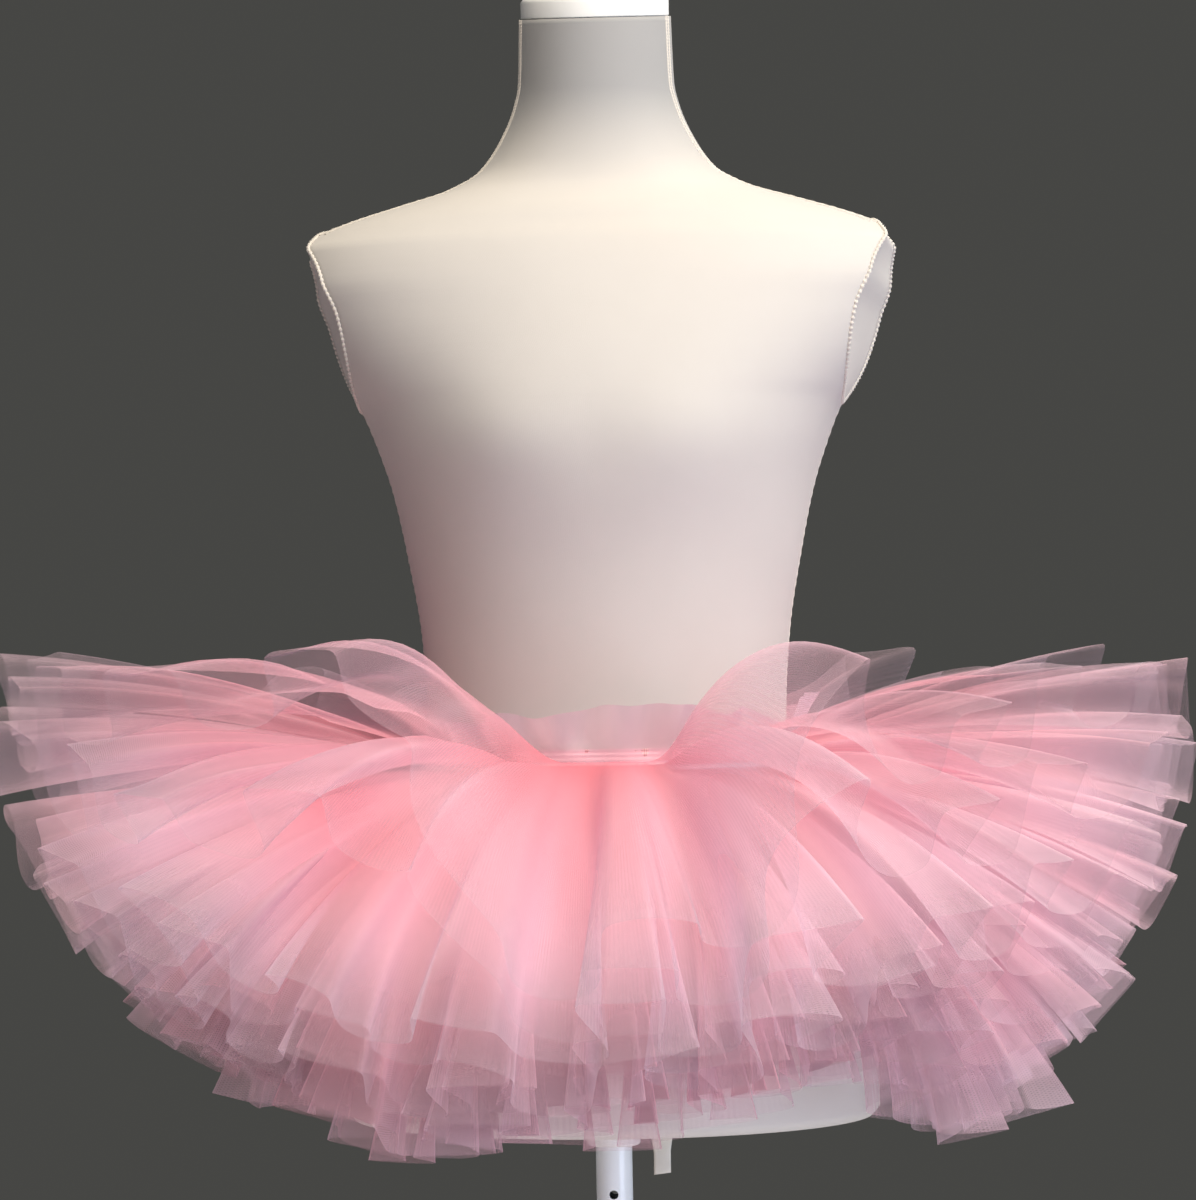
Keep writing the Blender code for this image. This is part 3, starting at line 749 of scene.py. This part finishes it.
def smooth(part):
    """Smoothstep of a share from 0 to 1."""
    return part * part * (3 - 2 * part)


def bump(name, turns):
    """A soft bump round the waist, by its name in BUMPS: a bell curve of the direction."""
    height, middle, width = BUMPS[name]
    away = (np.degrees(turns) - middle + 180) % 360 - 180
    return height * np.exp(-(away / width) ** 2)


def uneven(name, turns, level, share=0):
    """Smooth random values between -1 and 1 over direction, level and share of length.

    Random numbers on a lattice, closed round the waist, are blended by smoothstep weights.
    """
    cycles, seed, cells, steps = UNEVEN[name]
    levels = int(6 * steps) + 3
    table = np.random.default_rng(seed).uniform(-1, 1, (levels, cells + 1, cycles))

    def split(value, limit):
        whole = np.clip(np.floor(value).astype(int), 0, limit)
        return whole, smooth(value - whole)

    along, along_part = split(np.asarray(share) * cells, max(0, cells - 1))
    depth, depth_part = split(np.asarray((level + 0.5) * steps), levels - 2)
    spot = (np.asarray(turns) / TURN) % 1.0 * cycles
    whole = np.floor(spot).astype(int)
    part = smooth(spot - whole)
    total = 0.0
    for a, weight_a in ((0, 1 - along_part), (1, along_part)):
        for d, weight_d in ((0, 1 - depth_part), (1, depth_part)):
            for c, weight_c in ((0, 1 - part), (1, part)):
                value = table[depth + d, np.minimum(along + a, cells), (whole + c) % cycles]
                total = total + value * weight_a * weight_d * weight_c
    return total


def waist_point(turns, height, out):
    """Point of the waist's oval whose outward direction is given, moved out along it."""
    half_width, front, back, side_line = [
        float(np.interp(height, FORM_SECTIONS[:, 0], FORM_SECTIONS[:, c])) for c in (1, 2, 3, 4)]
    sine, cosine = np.sin(turns), np.cos(turns)
    depth = np.where(cosine > 0, front, back)
    scale = np.sqrt((half_width * sine) ** 2 + (depth * cosine) ** 2)
    x = half_width**2 * sine / scale + out * sine
    y = side_line - depth**2 * cosine / scale - out * cosine
    return x, y


def crease_lift(turns, share, level):
    """Height of the listed creases at each point: soft ridges, or troughs where below 0.

    A crease runs straight from its start to its end along the layer, swinging from its
    direction at the gathers to another at the hem, and fades out over neighbouring levels.
    """
    total = 0.0
    for round_root, round_hem, middle, spread, start, end, height, width in CREASES:
        centre = np.radians(round_root + (round_hem - round_root) * share)
        away = (turns - centre + math.pi) % TURN - math.pi
        ridge = np.exp(-(away / np.radians(width)) ** 2)
        reach = np.clip((share - start) / 0.16, 0, 1) * np.clip((end - share) / 0.12, 0, 1)
        near = np.exp(-((level - middle) / spread) ** 2)
        total = total + height / 1000 * ridge * smooth(reach) * near
    return total


def small_folds(level, turns, share, below):
    """Small pleats that grow towards the hem, shallow ripples, and gathers near the waist."""
    place_at = PLEATS * turns + 2.4 * uneven("pleat_place", turns, level)
    pleat = np.tanh(1.8 * np.sin(place_at + 1.3 * level)) / math.tanh(1.8)
    pleat = (PLEAT_HEIGHT + PLEAT_HEIGHT_LOW * below**2) * share**1.5 * pleat
    pleat = pleat * (0.6 + 0.6 * uneven("pleat_size", turns, level))
    ripple = RIPPLE_HEIGHT * share * uneven("ripple", turns, level, share)
    gathers = GATHER_HEIGHT * np.minimum(1, share / 0.05) * np.exp(-share / 0.30)
    return pleat + ripple + gathers * uneven("gathers", turns, level, share)


def tulle_layer(level, turns, share):
    """A loose layer's surface: rows from the gathers (share 0) to the hem (share 1).

    A point runs out from the waist along an arc whose rise falls evenly from gathers to hem. It
    then moves across that arc by folds that grow towards the hem. A fold is a blend of a flat
    box and a sharp ridge, and its sides lean, so that some folds swell into loops. Folds differ
    in height, width, lean and sharpness, from one to the next and from layer to layer.
    """
    below = float(np.clip((level - 1) / 4, 0, 1))
    above = float(np.clip(1 - level, 0, 1))
    top, second, lowest, top_bend, second_bend, lowest_bend = (
        by_direction(turns, column) for column in range(1, 7))
    rise = second + (lowest - second) * below + (top - second) * above
    bend = second_bend + (lowest_bend - second_bend) * below + (top_bend - second_bend) * above
    rise = np.radians(rise + RISE_UNEVEN * uneven("rise", turns, level))
    bend = np.radians(bend + BEND_UNEVEN * uneven("bend", turns, level))
    length = by_direction(turns, 8) * (1 - below) + by_direction(turns, 9) * below
    length = length * np.interp(level, range(6), TIER_LENGTHS)
    length = length * (1 + wander(turns, LENGTH_WANDER, 0.9 * level))
    mean, spread = LENGTH_UNEVEN
    length = length * (1 + mean + spread * uneven("length", turns, level))
    length = length * (1 + below * bump("hip_covered", turns))
    root = ROOT_TOP - ROOT_STEP * level
    x0, y0 = waist_point(turns, root, ROOT_OUT)
    first = rise + bend / 2
    here = first - bend * share
    out = length * (np.sin(first) - np.sin(here)) / bend
    up = length * (np.cos(here) - np.cos(first)) / bend

    phase = WAVES * turns + wander(turns, PHASE_WANDER) + WAVE_START + WAVE_STEP * level
    phase = phase + WAVE_UNEVEN * uneven("wave_place", turns, level)
    phase = phase + WAVE_BENT * uneven("wave_bent", turns, level, share)
    size = by_direction(turns, 7) * (1 + wander(turns, HEIGHT_WANDER, 0.3 * level))
    size = size * (1 - 0.25 * LOW_TIERS_FLATTER * below)
    size = size * (1 + SIZE_UNEVEN * uneven("wave_size", turns, level))
    size = size * (1 + min(1, level) * bump("front_folds_larger", turns))
    size = WAVE_AT_ROOT + (size - WAVE_AT_ROOT) * share**WAVE_GROWTH
    plain = np.sin(phase)
    boxed = np.tanh(BOX_SHARPNESS * plain) / math.tanh(BOX_SHARPNESS)
    peaked = np.arcsin(PEAK_SHARPNESS * plain) / math.asin(PEAK_SHARPNESS)
    mean, spread = BOX_SHARE
    blend = np.clip(mean + spread * uneven("box_share", turns, level), 0, 1)
    wave = size * (0.92 * (peaked + (boxed - peaked) * blend) + 0.12 * np.sin(2 * phase + 0.9))
    swing = -(LEAN + LEAN_LOW * below) * share * size * np.sin(2 * phase)
    swing = swing + LEAN_UNEVEN * wave * uneven("lean", turns, level)
    wave = wave + crease_lift(turns, share, level)
    wave = wave + small_folds(level, turns, share, below)

    moved = turns + above * share * bump("veil_leans", turns)
    sine, cosine = np.sin(moved), np.cos(moved)
    radial = out - wave * np.sin(here)
    x = x0 + radial * sine + swing * cosine
    y = y0 - radial * cosine + swing * sine
    z = FORM_BOTTOM + root + up + wave * np.cos(here)
    return np.stack([x, y, z], -1), length * share


def sheerness(points, cut, share, turns, level):
    """How closely the cloth lies at each point, and how deep its painted shade of pink is there.

    Closeness is how many times nearer the points stand round the waist than they were cut, and
    it grows where the layer's shorter plies begin, inside its hem. The top veils are thin.
    """
    step = np.linalg.norm(np.roll(points, -1, axis=1) - np.roll(points, 1, axis=1), axis=-1) / 2
    single = float(np.clip(level / 0.8, 0.1, 1))
    close = np.clip(cut / points.shape[1] / step, 0.8, 4.0) * (0.55 + 0.45 * single)
    close = close + 0.22 * np.clip((share - HEM_LINE) / (1 - HEM_LINE), 0, 1)
    inside = np.clip((0.97 - share + 0.05 * uneven("plies", turns, level)) / 0.30, 0, 1)
    plies = 1 + PLIES_FULL * single * smooth(inside)
    # Painted shade: a deeper, darker pink from hem to gathers and in front, with random tone on
    # top.
    tone_and_painted_depth = (1 - share) * 0.84 + 0.04 + 0.30 * uneven("tone_and_painted_depth", turns, level, share)
    tone_and_painted_depth = tone_and_painted_depth + np.clip(level / 3, 0, 1) * bump("front_painted_depth", turns)
    return {"gather": close * plies, "tone_and_painted_depth": np.clip(tone_and_painted_depth, 0, 1)}


def make_tulle(tulle):
    """All loose layers, from the top down."""
    turns = np.arange(LAYER_COLUMNS) * TURN / LAYER_COLUMNS
    share = np.append(np.linspace(0, 0.992, LAYER_ROWS - 1) ** 0.9, 1.0)[:, None]
    numbers = {}
    for order, (tier, level) in enumerate(LAYERS):
        points, along = tulle_layer(level, turns, share)
        numbers[tier] = numbers.get(tier, 0) + 1
        cut = round(float(np.interp(level, (0, 5), CUT_ROUND)), 2)
        round_map = turns / TURN * cut + 0 * share
        made = grid_mesh(
            f"tulle_{tier}_{numbers[tier]}", points, tulle, wrap=True,
            cloth_map=(round_map, along),
            attributes=sheerness(points, cut, share, turns, level))
        made.visible_shadow = order % SHADOW_EVERY == 0
        place(made, "form", "pink_tulle", f"tulle_tier_{tier}")


def make_band(elastic):
    """Elastic band, puckered a little along both edges."""
    heights = np.linspace(BAND_BOTTOM, BAND_TOP, 16)
    points = form_surface(heights, grow=BAND_GAP + BAND_WALL, arc=90, plate=4)
    round_map = lengths_round(points)
    edge = np.abs(np.linspace(-1, 1, 16))[:, None] ** 3
    pucker = 0.0004 * edge * np.sin(round_map * (TURN / 0.0065))
    spread = points[..., :2] * (1 + pucker[..., None] / 0.1)
    points = np.concatenate([spread, points[..., 2:]], -1)
    along = heights[:, None] + 0 * round_map
    made = grid_mesh("elastic_band", points, elastic, wrap=True,
                     cloth_map=(round_map, along))
    return place(made, "form", "pink_elastic", "waistband")


def make_header(tulle):
    """The gathered top edge of the tulle, standing above the band in small uneven ruffles."""
    turns = np.arange(1440) * TURN / 1440
    share = np.linspace(0, 1, 10)[:, None]
    lumps = 0.50 * uneven("header_lumps", turns, 0)
    lumps = lumps + 0.22 * uneven("header_small_lumps", turns, 0)
    lumps = lumps + bump("header_low", turns) + bump("header_high", turns)
    rise = 0.0225 * share * np.maximum(0.25, 1 + lumps) - 0.009 * (1 - share)
    phase = WAVES * turns + wander(turns, PHASE_WANDER)
    wave = (WAVE_AT_ROOT + 0.0036 * share) * np.sin(phase)
    wave = wave + 0.0030 * share**0.7 * uneven("header_wave", turns, 0, share)
    out = BAND_GAP + BAND_WALL + 0.0012 + np.maximum(rise, 0) * math.tan(math.radians(24)) + wave
    x, y = waist_point(turns, BAND_TOP, out)
    points = np.stack([x, y, FORM_BOTTOM + BAND_TOP + SEAM_GAP + rise], -1)
    # Shares near the hem give this ruffle the palest pink: painted light, for the lamps it
    # catches.
    made = grid_mesh(
        "tulle_header", points, tulle, wrap=True,
        cloth_map=(turns / TURN * 1.5 + 0 * share, rise),
        attributes=sheerness(points, 4.0, 0.86 + share * 0.08, turns, 1))
    made.visible_shadow = False
    return place(made, "form", "pink_tulle", "header_ruffle")


# ---------------------------------------------------------------- stand
def make_stand(paint, plastic, tape):
    """Base, boss, poles, grip collar, socket and tape, each on its own solid."""
    def top(node):
        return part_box(node)[1].z

    def low(node):
        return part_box(node)[0].z

    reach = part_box("base_plate")[1].x
    plate = [(0.0001, 0.0), (reach, 0.0), (reach, top("base_plate")), (0.0001, top("base_plate"))]
    plate = rounded(plate, 0.004, 6)
    place(turned("base_disc", plate, paint, 160), "stand", "white_paint", "base_plate")
    bore = 0.0143
    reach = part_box("base_boss")[1].x
    boss = [(bore, low("base_boss")), (reach, low("base_boss")), (reach, top("base_boss") - 0.012),
            (bore + 0.0057, top("base_boss")), (bore, top("base_boss"))]
    place(turned("base_boss_casting", rounded(boss, 0.0015), paint), "stand", "white_paint",
          "base_boss")
    outer = [(0.0118, low("outer_pole")), (0.0140, low("outer_pole")),
             (0.0140, top("outer_pole")), (0.0118, top("outer_pole"))]
    place(turned("outer_tube", rounded(outer, 0.0006, 3), paint), "stand", "white_paint",
          "outer_pole")
    cover = top("outer_pole") + SEAM_GAP
    grip_low, grip_top = low("grip_collar"), top("grip_collar")
    grip = [(0.0143, grip_low), (0.0196, grip_low), (0.0200, grip_low + 0.002),
            (0.0200, grip_top - 0.006), (0.0170, grip_top), (0.0118, grip_top),
            (0.0118, cover), (0.0143, cover)]
    collar = turned("grip_sleeve", rounded(grip, 0.0008, 3), plastic, 144)
    ribbed(collar, 0.0192, 24, 0.0006, grip_low + 0.004, grip_top - 0.009)
    place(collar, "stand", "white_plastic", "grip_collar")
    inner = [(0.00975, low("inner_pole")), (0.01125, low("inner_pole")),
             (0.01125, top("inner_pole")), (0.00975, top("inner_pole"))]
    pole = turned("inner_tube", rounded(inner, 0.0004, 3), paint)
    drilled(pole, [FORM_BOTTOM - 0.047 - 0.050 * i for i in range(7)], 0.0028)
    place(pole, "form", "white_paint", "inner_pole")
    high = FORM_BOTTOM - SEAM_GAP
    socket = [(0.01155, high), (0.01155, high - 0.017), (0.0158, high - 0.017),
              (0.0165, high - 0.0160), (0.0165, high - 0.012), (0.0208, high - 0.012),
              (0.0220, high - 0.0105), (0.0220, high - 0.004), (0.0320, high - 0.003),
              (0.0320, high)]
    place(turned("form_socket_moulding", rounded(socket, 0.0007, 3), plastic), "form",
          "white_plastic", "form_socket")
    make_tape(tape)


def ribbed(made, least, ribs, depth, low, high):
    """Presses grooves into a turned piece's outer wall between two heights."""
    count = len(made.data.vertices)
    places = np.zeros(count * 3, np.float32)
    made.data.vertices.foreach_get("co", places)
    places = places.reshape(-1, 3)
    radius = np.hypot(places[:, 0], places[:, 1])
    angle = np.arctan2(places[:, 1], places[:, 0])
    inside = (radius > least) & (places[:, 2] > low - 0.004) & (places[:, 2] < high + 0.004)
    press = depth * (0.5 - 0.5 * np.cos(ribs * angle)) * inside
    places[:, :2] *= (1 - press / np.maximum(radius, 1e-6))[:, None]
    made.data.vertices.foreach_set("co", places.ravel())
    made.data.update()


def drilled(made, heights, radius):
    """Cuts round holes through a tube from front to back."""
    rings = []
    for z in heights:
        around = np.arange(24) * TURN / 24
        ring = np.stack([radius * np.cos(around), 0 * around, z + radius * np.sin(around)], -1)
        rings.append(np.stack([ring - (0, 0.03, 0), ring + (0, 0.03, 0)]))
    cutters = [grid_mesh(f"drill_{i}", ring, made.data.materials[0], wrap=True, caps=(0, -1))
               for i, ring in enumerate(rings)]
    for cutter in cutters:
        welded(cutter)
        cut = made.modifiers.new("Hole", "BOOLEAN")
        cut.operation = "DIFFERENCE"
        cut.object = cutter
    result = bpy.data.meshes.new_from_object(
        made.evaluated_get(bpy.context.evaluated_depsgraph_get()))
    made.modifiers.clear()
    made.data = result
    made.data.shade_smooth()
    made.data.set_sharp_from_angle(angle=math.radians(40))
    for cutter in cutters:
        bpy.data.objects.remove(cutter, do_unlink=True)


def make_tape(tape):
    """End of the cover's tape, hanging from the form's edge with a slight curl."""
    low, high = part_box("cover_tab")
    middle_x, middle_y = (low.x + high.x) / 2, (low.y + high.y) / 2
    drop = np.linspace(0, 1, 15)[:, None]
    across = np.linspace(-1, 1, 9)
    half = 0.0070 - 0.0020 * np.minimum(1, drop * 2)
    x = middle_x + half * across + 0 * drop
    y = middle_y + 0.0006 * np.sin(drop * 5.0) + 0.0004 * across**2
    z = high.z - (high.z - low.z) * drop + 0.0006 * across
    points = np.stack([x, y + 0 * x, z + 0 * x], -1)
    made = grid_mesh("cover_tape", points, tape,
                     cloth_map=(x, drop * 0.026 + 0 * x))
    wall = made.modifiers.new("Wall", "SOLIDIFY")
    wall.thickness = 0.0011
    wall.offset = 0.0
    return place(made, "form", "white_jersey", "cover_tab")


# ---------------------------------------------------------------- studio
def aimed(place_at, aim):
    """Where a camera or lamp stands, turned to face a point."""
    turn = (Vector(aim) - Vector(place_at)).to_track_quat("-Z", "Y").to_matrix().to_4x4()
    return Matrix.Translation(place_at) @ turn


def make_camera():
    """Camera at the height of the waist, a little to the form's left, and slightly rolled."""
    distance = 2.0
    view_width = 0.7415
    azimuth = math.radians(3.0)
    roll = math.radians(-1.0)
    height = FORM_BOTTOM + 0.2856
    aim_above = 0.0335
    aim_left = 0.004
    lens = bpy.data.cameras.new("camera")
    lens.sensor_fit = "HORIZONTAL"
    lens.sensor_width = 36
    lens.lens = 36 * distance / view_width
    made = bpy.data.objects.new("camera", lens)
    bpy.context.scene.collection.objects.link(made)
    stand_at = Vector((distance * math.sin(azimuth), -distance * math.cos(azimuth), height))
    right = Vector((math.cos(azimuth), math.sin(azimuth), 0))
    aim = Vector((0, 0, height + aim_above)) - right * aim_left
    made.matrix_world = aimed(stand_at, aim) @ Matrix.Rotation(roll, 4, "Z")
    bpy.context.scene.camera = made


def area_light(name, place_at, aim, size, power, colour):
    """Soft lamp, size wide by tall, that faces a point."""
    lamp = bpy.data.lights.new(name, "AREA")
    lamp.shape = "RECTANGLE"
    lamp.size, lamp.size_y = size
    lamp.energy = power
    lamp.color = colour
    made = bpy.data.objects.new(name, lamp)
    bpy.context.scene.collection.objects.link(made)
    made.matrix_world = aimed(place_at, aim)


def make_studio():
    """Pale floor, soft lamps, and a plain dark grey room that gives an even light."""
    x, y = np.meshgrid(np.linspace(-3.8, 3.8, 12), np.linspace(-3.8, 3.8, 12))
    points = np.stack([x, y, np.full((12, 12), -0.0004)], -1)
    grid_mesh("studio_floor", points, floor_material())
    area_light("key_above", (0.70, -1.0, 2.95), (0.02, -0.03, 1.2), (1.8, 0.8), 70,
               (1.0, 0.90, 0.77))
    area_light("fill_right", (2.4, -1.9, 0.95), (0, 0, 0.96), (1.6, 1.3), 44, (0.70, 0.80, 1.0))
    area_light("floor_bounce", (-0.1, -1.1, 0.32), (0, -0.1, 0.93), (1.3, 0.5), 3.6,
               (1.0, 0.86, 0.95))
    area_light("rim_back", (1.4, 2.0, 2.3), (0, 0, 1.1), (1.4, 1.4), 12, (1.0, 0.97, 0.95))
    scene = bpy.context.scene
    s = Shading("studio_room", "worlds")
    seen = s.node("ShaderNodeLightPath", out="Is Camera Ray")
    soft = s.node("ShaderNodeBackground", None,
                  {"Color": (0.95, 0.97, 1.0, 1.0), "Strength": 0.115})
    wall = s.node("ShaderNodeBackground", None, {"Color": (0.062, 0.062, 0.058, 1.0)})
    both = s.node("ShaderNodeMixShader", None, {0: seen, 1: soft, 2: wall})
    scene.world = s.finish(both, "World")
    scene.view_settings.view_transform = "Standard"
    scene.cycles.transparent_max_bounces = 5
    scene.cycles.max_bounces = 2
    scene.cycles.use_light_tree = False
    scene.cycles.debug_use_spatial_splits = True


# ---------------------------------------------------------------- the whole
make_camera()
make_studio()
jersey, thread, tulle = jersey_material(), thread_material(), tulle_material()
plastic, paint = plastic_material(), paint_material()
make_torso(jersey)
make_seams(thread)
make_neck_cap(plastic)
make_band(elastic_material())
make_header(tulle)
make_tulle(tulle)
make_stand(paint, plastic, tape_material())
